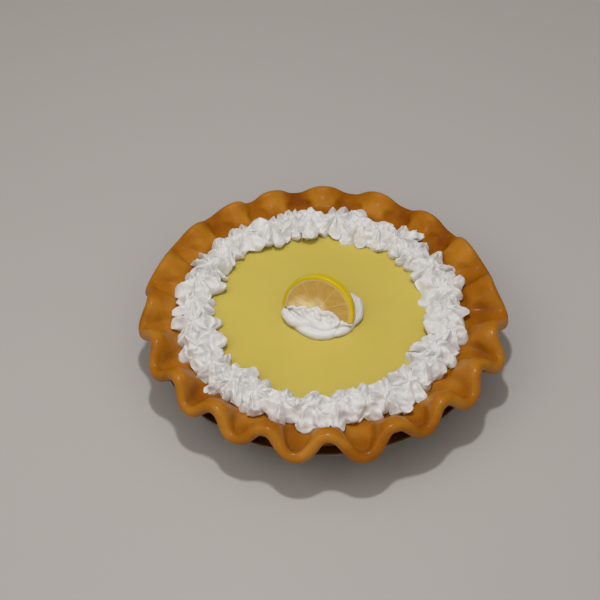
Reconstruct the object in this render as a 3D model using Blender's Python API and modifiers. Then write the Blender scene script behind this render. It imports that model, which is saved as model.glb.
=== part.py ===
"""No-bake lemon pie in its metal pie tin.

A ruffled crust lines the tin and hangs over its rim. Smooth lemon filling fills the crust,
a ring of piped cream stars runs round its edge, and a swirl of cream in the middle holds
a half slice of lemon.

Metres, +Z up. The origin is the centre of the tin's flat base, and the front of the pie,
where the slice's cut face looks, is towards -Y.
"""

import math
import random

import bmesh
import bpy
from mathutils import Matrix, Vector, noise

MM = 0.001
GAP = 0.3 * MM  # clearance between pieces that touch

# Tin: a nine-inch pie tin pressed from sheet, with a narrow flange and a rolled bead.
TIN_SHEET = 0.8 * MM
TIN_BASE_RADIUS = 97 * MM
TIN_MOUTH_RADIUS = 114 * MM
TIN_RIM_RADIUS = 121 * MM
TIN_HEIGHT = 26.5 * MM
TIN_CORNER = 3 * MM
TIN_BEAD_RADIUS = 1.4 * MM
TIN_BEAD_ARC = math.radians(150)
TIN_BEAD_POINTS = 6
TIN_STEPS = 44

# Crust: a shell that lies in the tin. Its edge is pinched into ruffles: each ridge stands
# high and is pulled inwards, and the hollow after it hangs low and reaches further out.
CRUST_FLOOR = 5 * MM
CRUST_WALL = 7 * MM
CRUST_SEAT_INNER = 99 * MM
CRUST_SEAT_OUTER = 110 * MM
CRUST_SEAT_HEIGHT = 33.5 * MM
RIDGE_DEGREES = (8, 29, 48, 69, 89, 108.5, 123.5, 140.5, 159, 178,
                 196.7, 214.8, 233, 251.5, 271, 292.5, 311.5, 330, 347.3)
HOLLOW_REACH_MM = (131, 129, 128.5, 129, 129, 129.5, 132, 132, 132, 132.5,
                   133.5, 132.5, 132.5, 136, 136, 131.5, 133, 136, 134)
STEPS_PER_RUFFLE = 8
RUFFLE_SQUARENESS = 0.024  # lengthens the ridges and hollows, and shortens the slopes between
LIP_RADIUS = 4.2 * MM
RIDGE_LIP_RADIAL = 122.3 * MM
RIDGE_LIP_HEIGHT = 45.2 * MM
RIDGE_FRONT_RISE = 2.8 * MM  # the front ridges stand this much above the mean, the back ones below
HOLLOW_LIP_HEIGHT = 34.6 * MM
HOLLOW_FRONT_RISE = 1 * MM
LIP_ARC_START = math.radians(100)
LIP_ARC_END_HOLLOW = math.radians(-110)
LIP_ARC_END_RIDGE = math.radians(-60)
LIP_ARC_POINTS = 5
# (radius, height) points of the crust's section between its seat and its lip, on top and below.
HOLLOW_BASIN = (116 * MM, 33.4 * MM)
HOLLOW_TURN_UP = 11 * MM  # how far inside its reach a hollow turns up into its lip
RIDGE_BROW = (113 * MM, 42 * MM)
RIDGE_SHOULDER_RADIUS = 118 * MM
RIDGE_SHOULDER_RISE = 3.6 * MM  # above the middle of the lip
HOLLOW_UNDERSIDE = ((125 * MM, 29.6 * MM), (118 * MM, 27.2 * MM))
RIDGE_UNDERSIDE = ((119.5 * MM, 37.5 * MM), (116.5 * MM, 31 * MM))
LUMP_SIZE = 22 * MM  # the edge's pinches, from one to the next
LUMP_HEIGHT = 0.9 * MM
LUMP_RAMP = 6 * MM  # how far from the tin and the seat the edge is as lumpy as it gets
LUMP_SEED = 7

# Filling: smooth, level with the crust's seat.
FILLING_HEIGHT = 33.5 * MM
FILLING_STEPS = 48

# Ring of cream stars. Each overlaps its neighbours, so it is trimmed halfway to them.
RING_CENTRE = Vector((-2 * MM, 0.3 * MM, 0))
RING_RADIUS = 91.3 * MM
STAR_DEGREES = (13, 26, 38, 50, 60, 70, 82, 93, 104, 115, 126.5, 139, 152, 165, 178,
                190, 203, 216, 228, 241, 253, 265.5, 277.5, 289, 300, 311, 323, 334, 345.5, 358)
STAR_RADIUS = 16 * MM
STAR_HEIGHT = 13.5 * MM
STAR_PETALS = 7
STAR_GROOVE = 0.74  # radius at the bottom of a groove over the radius at a petal's crown
STAR_SPREAD = 0.06  # how uneven the stars' radii and heights are
# Radius and height down the star's side, from its tip to its foot, as parts of the whole.
STAR_PROFILE = ((0, 1), (0.4, 0.88), (0.82, 0.52), (1, 0.17), (0.92, 0), (0, 0))

# Centre swirl: two turns of cream, the upper one smaller, a little longer than it is deep.
SWIRL_CENTRE = Vector((-0.8 * MM, 2 * MM, 0))
SWIRL_RADIUS = 30 * MM
SWIRL_HEIGHT = 12 * MM
SWIRL_DEPTH_RATIO = 0.88
SWIRL_LOBES = 5
SWIRL_LOBE_DEPTH = 0.05
SWIRL_TWIST = math.radians(50)
SWIRL_STEPS = 30
SWIRL_PROFILE = ((0, 1), (0.35, 0.97), (0.6, 0.8), (0.7, 0.58), (0.9, 0.5), (1, 0.24), (0.95, 0), (0, 0))

# Half slice of lemon, stood in the swirl on its straight edge.
SLICE_RADIUS = 26.6 * MM
SLICE_THICKNESS = 6.8 * MM
SLICE_BURIED = 3 * MM  # the straight edge lies this far below the slice's diameter
SLICE_CENTRE = Vector((-3.9 * MM, -6 * MM, 43.6 * MM))  # on its front face, at the diameter
SLICE_LEAN = math.radians(22)
SLICE_TURN = math.radians(-20)
SLICE_SEGMENTS = 40
SLICE_EDGE = 0.5 * MM


def clear_scene():
    for obj in list(bpy.data.objects):
        bpy.data.objects.remove(obj, do_unlink=True)


def collection(name):
    made = bpy.data.collections.new(name)
    bpy.context.scene.collection.children.link(made)
    return made


def material(name, color, roughness, metallic=0.0):
    made = bpy.data.materials.new(name)
    made.use_nodes = True
    shader = made.node_tree.nodes["Principled BSDF"]
    shader.inputs["Base Color"].default_value = (*color, 1)
    shader.inputs["Roughness"].default_value = roughness
    shader.inputs["Metallic"].default_value = metallic
    made.diffuse_color = (*color, 1)
    return made


def add_object(name, bm, finish, home):
    mesh = bpy.data.meshes.new(name)
    bm.to_mesh(mesh)
    bm.free()
    mesh.materials.append(finish)
    mesh.shade_smooth()
    mesh.set_sharp_from_angle(angle=math.radians(50))
    obj = bpy.data.objects.new(name, mesh)
    home.objects.link(obj)
    return obj


def profile(points):
    """A bmesh with one chain of edges through (radius, height) points."""
    bm = bmesh.new()
    verts = [bm.verts.new((radius, 0, height)) for radius, height in points]
    for pair in zip(verts, verts[1:]):
        bm.edges.new(pair)
    return bm


def spun(points, steps):
    """A profile that starts and ends on the axis, turned a full circle into a closed shape.

    It comes with the layer that says which point of the profile each vertex was turned from.
    """
    bm = profile(points)
    station = bm.verts.layers.int.new("station")
    for index, vert in enumerate(bm.verts):
        vert[station] = index
    bmesh.ops.spin(
        bm, geom=list(bm.verts) + list(bm.edges), cent=(0, 0, 0), axis=(0, 0, 1),
        angle=math.tau, steps=steps, use_merge=True,
    )
    bmesh.ops.remove_doubles(bm, verts=bm.verts, dist=1e-6)
    bmesh.ops.recalc_face_normals(bm, faces=bm.faces)
    return bm, station


def turned(name, points, steps, finish, home):
    """A turned object: the profile with a Screw modifier."""
    obj = add_object(name, profile(points), finish, home)
    screw = obj.modifiers.new("Turn", "SCREW")
    screw.steps = steps
    screw.render_steps = steps
    screw.use_merge_vertices = True
    screw.merge_threshold = 1e-6
    return obj


def arc(centre, radius, start, end, points):
    """Points round a centre, from one angle to another."""
    angles = [start + (end - start) * i / (points - 1) for i in range(points)]
    return [(centre[0] + radius * math.cos(a), centre[1] + radius * math.sin(a)) for a in angles]


def blend(low, high, share):
    return low + (high - low) * share


def blend_points(low, high, share):
    return [(blend(a[0], b[0], share), blend(a[1], b[1], share)) for a, b in zip(low, high)]


def make_tin(home):
    finish = material("tinplate", (0.56, 0.55, 0.52), 0.35, 1.0)
    bead_centre = (TIN_RIM_RADIUS - TIN_BEAD_RADIUS, TIN_HEIGHT - TIN_BEAD_RADIUS)
    flange = TIN_HEIGHT - TIN_BEAD_RADIUS - TIN_SHEET / 2
    outline = [
        (0, TIN_SHEET),
        (TIN_BASE_RADIUS - TIN_CORNER, TIN_SHEET),
        (TIN_BASE_RADIUS - TIN_SHEET, TIN_CORNER),
        (TIN_MOUTH_RADIUS, flange + TIN_SHEET),
        *arc(bead_centre, TIN_BEAD_RADIUS, TIN_BEAD_ARC, -TIN_BEAD_ARC, TIN_BEAD_POINTS),
        (TIN_MOUTH_RADIUS + TIN_SHEET, flange),
        (TIN_BASE_RADIUS, TIN_CORNER),
        (TIN_BASE_RADIUS - TIN_CORNER, 0),
        (0, 0),
    ]
    return turned("tin", outline, TIN_STEPS, finish, home)


def ruffle_at(turn):
    """Angle, ridge share (1 on a ridge, 0 in a hollow) and hollow's reach, at a part of a turn."""
    count = len(RIDGE_DEGREES)
    ruffle, phase = divmod(turn * count, 1)
    ruffle = int(ruffle) % count
    start = RIDGE_DEGREES[ruffle]
    end = RIDGE_DEGREES[(ruffle + 1) % count]
    angle = math.radians(start + phase * ((end - start) % 360))
    phase -= RUFFLE_SQUARENESS * math.sin(2 * math.tau * phase)
    ridge = (1 + math.cos(math.tau * phase)) / 2
    return angle, ridge, HOLLOW_REACH_MM[ruffle] * MM


def crust_section(angle, ridge, reach):
    """(radius, height) points from the middle of the crust's floor, over its lip, to its underside."""
    lip_radial = blend(reach - LIP_RADIUS, RIDGE_LIP_RADIAL, ridge)
    ridge_height = RIDGE_LIP_HEIGHT - RIDGE_FRONT_RISE * math.sin(angle)
    hollow_height = HOLLOW_LIP_HEIGHT - HOLLOW_FRONT_RISE * math.sin(angle)
    lip_height = blend(hollow_height, ridge_height, ridge)
    hollow_top = [HOLLOW_BASIN, (reach - HOLLOW_TURN_UP, hollow_height)]
    ridge_top = [RIDGE_BROW, (RIDGE_SHOULDER_RADIUS, ridge_height + RIDGE_SHOULDER_RISE)]
    arc_end = blend(LIP_ARC_END_HOLLOW, LIP_ARC_END_RIDGE, ridge)
    floor = TIN_SHEET + GAP
    return [
        (0, floor + CRUST_FLOOR),
        (TIN_BASE_RADIUS - CRUST_WALL, floor + CRUST_FLOOR),
        (CRUST_SEAT_INNER, CRUST_SEAT_HEIGHT),
        (CRUST_SEAT_OUTER, CRUST_SEAT_HEIGHT),
        *blend_points(hollow_top, ridge_top, ridge),
        *arc((lip_radial, lip_height), LIP_RADIUS, LIP_ARC_START, arc_end, LIP_ARC_POINTS),
        *blend_points(HOLLOW_UNDERSIDE, RIDGE_UNDERSIDE, ridge),
        (TIN_MOUTH_RADIUS, TIN_HEIGHT + GAP),
        (TIN_MOUTH_RADIUS - 3 * GAP, TIN_HEIGHT - TIN_BEAD_RADIUS),
        (TIN_BASE_RADIUS - TIN_SHEET - 2 * GAP, TIN_CORNER + GAP),
        (TIN_BASE_RADIUS - TIN_CORNER - GAP, floor),
        (0, floor),
    ]


def lump(point):
    """How far the pinched edge is pushed aside at a point: not at all beside the tin and the seat."""
    clear = min(point.z - TIN_HEIGHT - GAP, math.hypot(point.x, point.y) - CRUST_SEAT_OUTER)
    share = min(max(clear / LUMP_RAMP, 0), 1)
    return share * LUMP_HEIGHT * noise.noise_vector(point / LUMP_SIZE)


def make_crust(home):
    """Spun from one section, with each point then moved to where the ruffle has it."""
    finish = material("browned_crust", (0.50, 0.19, 0.035), 0.45)
    steps = STEPS_PER_RUFFLE * len(RIDGE_DEGREES)
    bm, station = spun(crust_section(*ruffle_at(0)), steps)
    for vert in bm.verts:
        step = round(math.atan2(vert.co.y, vert.co.x) / math.tau * steps) % steps
        angle, ridge, reach = ruffle_at(step / steps)
        radius, height = crust_section(angle, ridge, reach)[vert[station]]
        vert.co = (radius * math.cos(angle), radius * math.sin(angle), height)
        vert.co += lump(vert.co)
    return add_object("crust", bm, finish, home)


def make_filling(home):
    finish = material("lemon_filling", (0.52, 0.42, 0.08), 0.3)
    floor = TIN_SHEET + CRUST_FLOOR + 2 * GAP
    outline = [
        (0, FILLING_HEIGHT),
        (CRUST_SEAT_INNER - 2 * GAP, FILLING_HEIGHT),
        (TIN_BASE_RADIUS - CRUST_WALL - GAP, floor),
        (0, floor),
    ]
    return turned("filling", outline, FILLING_STEPS, finish, home)


def trim(bm, point, direction):
    """Cuts away what lies beyond a plane and closes the cut."""
    geometry = list(bm.verts) + list(bm.edges) + list(bm.faces)
    bmesh.ops.bisect_plane(
        bm, geom=geometry, dist=1e-7, plane_co=point, plane_no=direction, clear_outer=True
    )
    open_edges = [edge for edge in bm.edges if edge.is_boundary]
    bmesh.ops.holes_fill(bm, edges=open_edges, sides=0)


def make_star(index, finish, home):
    """A star of cream from a star tip: petals round a tip, with a sharp groove between each two."""
    uneven = random.Random(index)
    size = STAR_RADIUS * uneven.uniform(1 - STAR_SPREAD, 1)
    height = STAR_HEIGHT * uneven.uniform(1 - STAR_SPREAD, 1 + STAR_SPREAD)
    first_petal = uneven.uniform(0, math.tau)
    outline = [(size * radius, height * level) for radius, level in STAR_PROFILE]
    bm, _ = spun(outline, 2 * STAR_PETALS)
    for vert in bm.verts:
        place = round(math.atan2(vert.co.y, vert.co.x) / math.tau % 1 * 2 * STAR_PETALS)
        if place % 2:
            vert.co.x *= STAR_GROOVE
            vert.co.y *= STAR_GROOVE

    angle = math.radians(STAR_DEGREES[index])
    out = Vector((math.cos(angle), math.sin(angle), 0))
    foot = RING_CENTRE + out * RING_RADIUS + Vector((0, 0, FILLING_HEIGHT + GAP))
    bm.transform(Matrix.Translation(foot) @ Matrix.Rotation(first_petal, 4, "Z"))
    for side in (-1, 1):
        neighbour = STAR_DEGREES[(index + side) % len(STAR_DEGREES)]
        step = (neighbour - STAR_DEGREES[index] + 180) % 360 - 180
        halfway = angle + math.radians(step) / 2
        direction = side * Vector((-math.sin(halfway), math.cos(halfway), 0))
        trim(bm, RING_CENTRE - direction * GAP / 2, direction)
    return add_object(f"cream_star_{index + 1:02d}", bm, finish, home)


def slice_body(clearance, finish, name, home):
    """The half slice, grown all round by a clearance."""
    bm = bmesh.new()
    bmesh.ops.create_circle(bm, cap_ends=True, radius=SLICE_RADIUS + clearance, segments=SLICE_SEGMENTS)
    edge = Vector((0, -SLICE_BURIED - clearance, 0))
    bmesh.ops.bisect_plane(
        bm, geom=list(bm.verts) + list(bm.edges) + list(bm.faces), dist=1e-7,
        plane_co=edge, plane_no=(0, -1, 0), clear_outer=True,
    )
    front = bmesh.ops.extrude_face_region(bm, geom=list(bm.faces))["geom"]
    moved = [item for item in front if isinstance(item, bmesh.types.BMVert)]
    bmesh.ops.translate(bm, verts=moved, vec=(0, 0, -SLICE_THICKNESS - 2 * clearance))
    bmesh.ops.translate(bm, verts=bm.verts, vec=(0, 0, clearance))
    bmesh.ops.recalc_face_normals(bm, faces=bm.faces)
    obj = add_object(name, bm, finish, home)
    obj.location = SLICE_CENTRE
    obj.rotation_euler = (math.pi / 2 - SLICE_LEAN, 0, SLICE_TURN)
    return obj


def make_slice(home):
    finish = material("lemon_slice", (0.62, 0.42, 0.04), 0.25)
    obj = slice_body(0, finish, "lemon_slice", home)
    bevel = obj.modifiers.new("Soft edge", "BEVEL")
    bevel.width = SLICE_EDGE
    bevel.segments = 1
    bevel.limit_method = "ANGLE"
    return obj


def make_swirl(finish, home, cutters):
    """The centre swirl, with the slot that the lemon slice stands in."""
    outline = [(SWIRL_RADIUS * radius, SWIRL_HEIGHT * level) for radius, level in SWIRL_PROFILE]
    bm, _ = spun(outline, SWIRL_STEPS)
    for vert in bm.verts:
        angle = math.atan2(vert.co.y, vert.co.x) + SWIRL_TWIST * vert.co.z / SWIRL_HEIGHT
        lobe = 1 + SWIRL_LOBE_DEPTH * math.cos(SWIRL_LOBES * angle)
        vert.co.x *= lobe
        vert.co.y *= lobe * SWIRL_DEPTH_RATIO
    bmesh.ops.translate(bm, verts=bm.verts, vec=SWIRL_CENTRE + Vector((0, 0, FILLING_HEIGHT + GAP)))
    obj = add_object("cream_swirl", bm, finish, home)
    cutter = slice_body(GAP, finish, "slice_slot_cutter", cutters)
    cutter.hide_render = True
    cutter.display_type = "WIRE"
    slot = obj.modifiers.new("Slot for the slice", "BOOLEAN")
    slot.operation = "DIFFERENCE"
    slot.object = cutter
    return obj


def main():
    noise.seed_set(LUMP_SEED)
    clear_scene()
    pie = collection("no_bake_lemon_pie")
    cutters = collection("cutters")
    make_tin(pie)
    make_crust(pie)
    make_filling(pie)
    cream = material("whipped_cream", (0.84, 0.82, 0.80), 0.5)
    for index in range(len(STAR_DEGREES)):
        make_star(index, cream, pie)
    make_swirl(cream, pie, cutters)
    make_slice(pie)


main()
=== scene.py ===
"""Looks of a no-bake lemon pie: fine meshes and finishes built round the pie's fixed frame.

It is a display pie: a cast crust in a pressed tin, a poured lemon filling, a ring of piped
stars, and a dollop that holds a moulded half slice of lemon. Metres, +Z up, front towards -Y.
"""

import math
import random

import bmesh
import bpy
from mathutils import Euler, Matrix, Vector, noise


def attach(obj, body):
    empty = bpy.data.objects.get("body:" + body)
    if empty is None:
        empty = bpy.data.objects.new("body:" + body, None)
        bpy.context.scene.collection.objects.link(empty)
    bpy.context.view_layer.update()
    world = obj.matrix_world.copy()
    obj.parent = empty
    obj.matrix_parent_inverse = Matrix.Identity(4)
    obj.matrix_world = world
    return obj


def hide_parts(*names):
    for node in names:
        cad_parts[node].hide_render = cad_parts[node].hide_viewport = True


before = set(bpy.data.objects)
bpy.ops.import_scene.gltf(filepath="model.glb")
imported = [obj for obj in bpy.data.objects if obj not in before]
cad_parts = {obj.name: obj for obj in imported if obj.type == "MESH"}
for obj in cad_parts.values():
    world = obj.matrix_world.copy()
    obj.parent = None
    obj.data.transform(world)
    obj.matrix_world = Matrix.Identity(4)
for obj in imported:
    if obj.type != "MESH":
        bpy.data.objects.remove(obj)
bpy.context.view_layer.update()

MM = 0.001
GAP = 0.3 * MM

# Vertices nearer than the first are one, and a cut takes those nearer than the second as on it.
WELD_DISTANCE = 1e-6
CUT_DISTANCE = 1e-7

# Edges sharper than this are shaded as edges.
SHARP_EDGE = math.radians(40)
SLICE_SHARP_EDGE = math.radians(50)

# Tin
TIN_SHEET = 0.8 * MM
TIN_BASE_RADIUS = 97 * MM
TIN_MOUTH_RADIUS = 114 * MM
TIN_RIM_RADIUS = 121 * MM
TIN_HEIGHT = 26.5 * MM
TIN_CORNER = 3 * MM
TIN_BEAD_RADIUS = 1.4 * MM
TIN_BEAD_ARC = math.radians(150)
TIN_BEAD_POINTS = 14
TIN_CORNER_END = math.radians(-10)
TIN_CORNER_POINTS = 5
TIN_STEPS = 240

# Crust: the ruffle's ridges and hollows stand where the frame's crust has them.
CRUST_FLOOR = 5 * MM
CRUST_WALL = 7 * MM
CRUST_SEAT_INNER = 99 * MM
CRUST_SEAT_OUTER = 104 * MM
CRUST_SEAT_HEIGHT = 33.5 * MM
RIDGE_DEGREES = (8, 29, 48, 69, 89, 108.5, 123.5, 140.5, 159, 178,
                 196.7, 214.8, 233, 251.5, 271, 292.5, 311.5, 330, 347.3)
HOLLOW_REACH_MM = (131, 129, 128.5, 129, 129, 129.5, 132, 132, 132, 132.5,
                   133.5, 132.5, 132.5, 136, 136, 131.5, 133, 136, 134)
STEPS_PER_RUFFLE = 20
POINTS_PER_SPAN = 3
LIP_RADIUS = 4.2 * MM
RIDGE_LIP_RADIAL = 122.3 * MM
RIDGE_LIP_HEIGHT = 45.2 * MM
RIDGE_FRONT_RISE = 2.8 * MM
HOLLOW_LIP_HEIGHT = 34.6 * MM
HOLLOW_FRONT_RISE = 1 * MM
LIP_ARC_START = math.radians(100)
LIP_ARC_END_HOLLOW = math.radians(-110)
LIP_ARC_END_RIDGE = math.radians(-60)
LIP_ARC_POINTS = 6
RUFFLE_SQUARENESS = 0.024
BASIN_FLAT = 0.12
RIDGE_FLAT = 0.2
# The crust's slope and underside in a hollow, then on a ridge: the radius, the height at the back
# of the pie and the height in front, in mm.
SLOPE_FOOT = ((110, 34.9, 33.7), (107, 38, 38))
SLOPE_TOP = ((116.5, 36.4, 33.8), (111.5, 40.4, 43.5))
UNDER_LIP = ((125, 29.6, 29.6), (119.5, 37.5, 37.5))
UNDER_FOOT = ((118, 27.2, 27.2), (116.5, 31, 31))
# Where the slope meets the lip, in lip radii from the lip's middle: how far in, and the height at
# the back and in front, in a hollow and on a ridge.
LIP_FOOT_INWARD = 1.35
LIP_FOOT_HOLLOW = (0.8, -0.1)
LIP_FOOT_RIDGE = (0.15, 0.85)
LUMP_SIZE = 22 * MM
LUMP_HEIGHT = 0.9 * MM
LUMP_RAMP = 6 * MM
LUMP_SEED = 7

# Browning, from 0, golden, to 1, toasted, with painted shade and light in it: it is raised as
# painted shade in the hollows, at the back and under the lip, and lowered as painted light on the
# left and on the lip's outer face. The lip has one for each point of its arc.
BACK_TOAST_AND_SHADE = 0.9
FRONT_TOAST_AND_SHADE = 0.6
LEFT_PAINTED_LIGHT = 0.3
SLOPE_FOOT_TOAST_AND_SHADE = 0.7
SLOPE_FOOT_RIDGE_TOAST = 0.3
RIDGE_TOAST = 0.2
LIP_TOAST_LIGHT_AND_SHADE = (0.5, 0.3, 0.25, 0.3, 0.4, 0.5)
UNDER_PAINTED_SHADE = 0.6
HIDDEN_TOAST = 0.5
FLOOR_TOAST = 0.3

# Filling
FILLING_HEIGHT = 33.5 * MM
FILLING_STEPS = 160
FILLING_RINGS = 24
FILLING_RIPPLE_SIZE = 40 * MM
FILLING_RIPPLE = 0.15 * MM

# Ring of cream stars
RING_CENTRE = Vector((-2 * MM, 0.3 * MM, 0))
RING_RADIUS = 91.3 * MM
RING_WANDER = 1.6 * MM
STAR_DEGREES = (13, 26, 38, 50, 60, 70, 82, 93, 104, 115, 126.5, 139, 152, 165, 178,
                190, 203, 216, 228, 241, 253, 265.5, 277.5, 289, 300, 311, 323, 334, 345.5, 358)
STAR_RADIUS = 17.2 * MM
STAR_HEIGHT = 13.5 * MM
STAR_SEED = 50
# Outline of a star's side from its tip to its foot, as shares of its radius and height.
STAR_SIDE = ((0, 0.8), (0.1, 0.83), (0.22, 0.87), (0.38, 0.89), (0.55, 0.82), (0.71, 0.69),
             (0.85, 0.54), (0.95, 0.41), (1.01, 0.3), (1.02, 0.2), (0.94, 0.07), (0.85, -0.08))
STAR_SPAN_POINTS = 3
PETAL_STEPS = 18
# How far a petal's sides sink below its crest, the share of the radius from which they do so in
# full, and how keen the crest is near the tip.
PETAL_SINK = 0.3
PETAL_SHOULDER = 0.55
PETAL_KEENNESS = 1.5
# What differs between the stars and between their petals: the least and the most, or how far it
# goes either way. A petal with a low end is a blunt lobe, and one with a high end comes to a point.
STAR_SPREAD = 0.07
STAR_TWISTS = (math.radians(-20), math.radians(56))
STAR_TILT = math.radians(10)
PETAL_COUNTS = (6, 7, 8)
PETAL_WIDTHS = (0.6, 1.4)
PETAL_REACHES = (0.88, 1.16)
PETAL_LEAN = 0.5
PETAL_ENDS = (0.45, 1.8)
PETAL_GROOVES = (0.24, 0.38)
PETAL_LIFT = 0.14
# Roughness of all the cream: how far apart each kind of unevenness is, and how deep.
WARP_SIZE = 10 * MM
WARP_DEPTH = 2.6 * MM
FOLD_SIZE = 7 * MM
FOLD_DEPTH = 1.8 * MM
CREASE_SIZE = 2.3 * MM
CREASE_DEPTH = 0.65 * MM
TOOTH_SIZE = 3.4 * MM
TOOTH_DEPTH = 0.7 * MM

# Dollop: ribbons of cream laid round a low mound, in two rings
DOLLOP_CENTRE = Vector((-0.8 * MM, 4.6 * MM, 0))
# Middle, half sizes and turn in degrees of the mound and of the humps in front of it, in mm.
HUMPS = (
    ((-0.8, 4.6, 33.5), (21, 21, 9), 0),
    ((-6.5, -7.5, 34), (17, 9, 7.6), -20),
    ((-19, -1, 34), (8, 7.5, 6.4), -35),
    ((5, -10.5, 34), (12, 7.5, 8.8), -14),
    ((-14.1, -3.6, 34), (5.5, 3.4, 10.4), -20),
    ((-4, -6.4, 34), (6, 3.4, 12.4), -20),
    ((6.5, -10.4, 34), (7, 3.8, 11.4), -20),
)
# First and last angle, radius at each, half width, half height, and height of the middle, in mm.
RIBBONS = (
    (92, 172, 20.5, 27.4, 4.0, 3.8, 36.6),
    (24, 104, 20.5, 19.0, 4.2, 3.8, 36.8),
    (184, 250, 26.9, 17.8, 4.1, 3.9, 37.2),
    (286, 338, 27.2, 25.8, 3.3, 2.8, 35.2),
    (320, 392, 27.6, 23.2, 4.2, 4.0, 36.8),
    (330, 450, 16.5, 14.5, 5.0, 3.8, 39.0),
    (425, 560, 15.5, 16.0, 5.0, 3.8, 39.2),
)
# Folds that are free of the rounds: the points along each, and how thick it is, in mm. The first
# lies along the foot in front, the second over it, and the third along the slice's face.
FOLDS = (
    (((-21.5, -6, 35.2), (-18.6, -12, 35.2), (-14, -16.6, 35.1), (-7, -20.6, 35), (0, -22, 35),
      (6.7, -20.3, 35), (9.6, -16.8, 35.2), (11.2, -12.6, 35.4)), 3.3),
    (((-24, 3.6, 38), (-20.4, 0.6, 38), (-16.2, -3.6, 38), (-10.8, -8.8, 38), (-5.8, -13.8, 37.6),
      (-0.4, -16.4, 37.4), (5, -16, 37.4), (8.6, -12.8, 37.8), (12, -6, 38)), 3.7),
    (((-26, 0, 40.8), (-23, -1.3, 42), (-18.4, -2.8, 42.4), (-14.1, -3.4, 44.2), (-9.1, -5.3, 42.6),
      (-4, -6.2, 45.4), (0.2, -8.4, 43.2), (5.9, -10.1, 44.8), (9.5, -11.6, 43.4), (11.5, -13.4, 40.4),
      (15, -14.8, 39.6), (21.6, -16.6, 40.4)), 1.7),
    (((7, -11, 38), (12, -13.2, 38.2), (16.5, -12.8, 38.2), (20.5, -10.6, 38), (24, -7, 37.4)), 3.2),
    (((-22, -1.6, 41), (-16.5, -5.3, 40.8), (-12.6, -8.6, 40)), 1.6),
    (((-14.1, -3.8, 43.4), (-13, -7, 41.4), (-9, -11, 39.8)), 1.7),
    (((-9.1, -6.4, 42), (-6, -10, 41), (-0.6, -12.6, 40.4)), 1.6),
    (((-4, -6.6, 45), (-4.4, -9.6, 42.4), (-2, -13.6, 40.2)), 2),
    (((5.9, -10.3, 44.4), (4.2, -13, 41.6), (5.4, -16.4, 39.4)), 1.9),
    (((9.5, -12, 43.4), (10.4, -14.4, 41), (8.6, -17.2, 39)), 1.9),
)
HUMP_SEGMENTS = 48
HUMP_RINGS = 24
RIBBON_SIDES = 16
RIBBON_STEPS = 20
RIBBON_TIP = 0.03
FOLD_SPAN_POINTS = 5
DOLLOP_VOXEL = 0.45 * MM
DOLLOP_SUNK = 0.4 * MM
# The dollop is crumpled less than the stars, and least below this height.
CRUMPLE_FROM = 39.5 * MM
CRUMPLE_RISE = 3 * MM
CRUMPLE_LOW = 0.2
CRUMPLE_HIGH = 0.65
SLOT_CLEARANCE = 0.15 * MM

# Half slice of lemon
SLICE_RADIUS = 26.6 * MM
PITH_OUTER = 24.5 * MM
PULP_RADIUS = 23 * MM
SLICE_THICKNESS = 6.8 * MM
SLICE_BURIED = 3 * MM
SLICE_CENTRE = Vector((-3.9 * MM, -6 * MM, 43.6 * MM))
SLICE_LEAN = math.radians(22)
SLICE_TURN = math.radians(-20)
SLICE_STEPS = 180
SLICE_ROUND_POINTS = 6
PEEL_ROUNDING = 0.7 * MM
PITH_ROUNDING = 0.1 * MM
PITH_RECESS = 0.15 * MM
PULP_RECESS = 0.25 * MM
PULP_STEPS = 360
PULP_RINGS = 40
PULP_RIM = 2 * MM
MEMBRANE_DEGREES = (8, 30, 62, 95, 128, 160)
MEMBRANE_WIDTH = 0.9 * MM
MEMBRANE_RISE = 0.1 * MM
MEMBRANE_TINT = 0.18
VESICLE_WIDTH = 1.3 * MM
VESICLE_LENGTH = 7 * MM
VESICLE_START = 5 * MM
VESICLE_RISE = 0.22 * MM
VESICLE_CONTRAST = 1.6
VESICLE_LOSS = 0.3
CORE_PLACE = -7 * MM
CORE_WIDTH = 19 * MM
CORE_HEIGHT = 11 * MM
CORE_PATCH = 6 * MM
CORE_PATCHINESS = 0.45
CORE_PALENESS = 1.1

# Floor and light
FLOOR_HALF_SIZE = 4
ROOM_COLOUR = (1, 0.92, 0.86, 1)
ROOM_BRIGHTEST = Vector((-0.1, -0.5, 0.86))
ROOM_FALL = 0.9
ROOM_DARK = 0.1
ROOM_BRIGHT = 0.63
ROOM_IN_GLOSS = 0.25
KEY_PLACE = Vector((-0.045, -0.03, 1.02))
KEY_SIZE = 0.07
KEY_WATTS = 3.9
KEY_COLOUR = (0.97, 0.98, 1)
FILL_PLACE = Vector((-0.6, -0.35, 0.85))
FILL_SIZE = 0.6
FILL_WATTS = 1.05
FILL_COLOUR = (1, 0.98, 0.95)

# Camera, fitted to the photograph: it looks down by this angle.
CAMERA_PLACE = Vector((-0.01626, -0.68591, 0.77915))
CAMERA_DOWN = math.radians(46.8)
CAMERA_LENS = 84
CAMERA_SENSOR = 36


def blend(low, high, share):
    """The value at this share of the way from low to high."""
    return low + (high - low) * share


def clamped(value):
    """The value, kept from 0 to 1."""
    return min(max(value, 0), 1)


def eased(share):
    """The share with a soft start and end."""
    return share * share * (3 - 2 * share)


def arc(centre, radius, start, end, points):
    """Points round a centre, from one angle to another."""
    angles = [start + (end - start) * i / (points - 1) for i in range(points)]
    return [(centre[0] + radius * math.cos(a), centre[1] + radius * math.sin(a)) for a in angles]


def smooth_line(points, per_span):
    """A smooth line through the points (Catmull-Rom), with so many points to each span."""
    line = []
    last = len(points) - 1
    for i in range(last):
        before = points[max(i - 1, 0)]
        start = points[i]
        end = points[i + 1]
        after = points[min(i + 2, last)]
        for step in range(per_span):
            t = step / per_span
            line.append(tuple(
                0.5 * (2 * b + (c - a) * t + (2 * a - 5 * b + 4 * c - d) * t * t
                       + (3 * b - a - 3 * c + d) * t ** 3)
                for a, b, c, d in zip(before, start, end, after)))
    line.append(tuple(points[last]))
    return line


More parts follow.
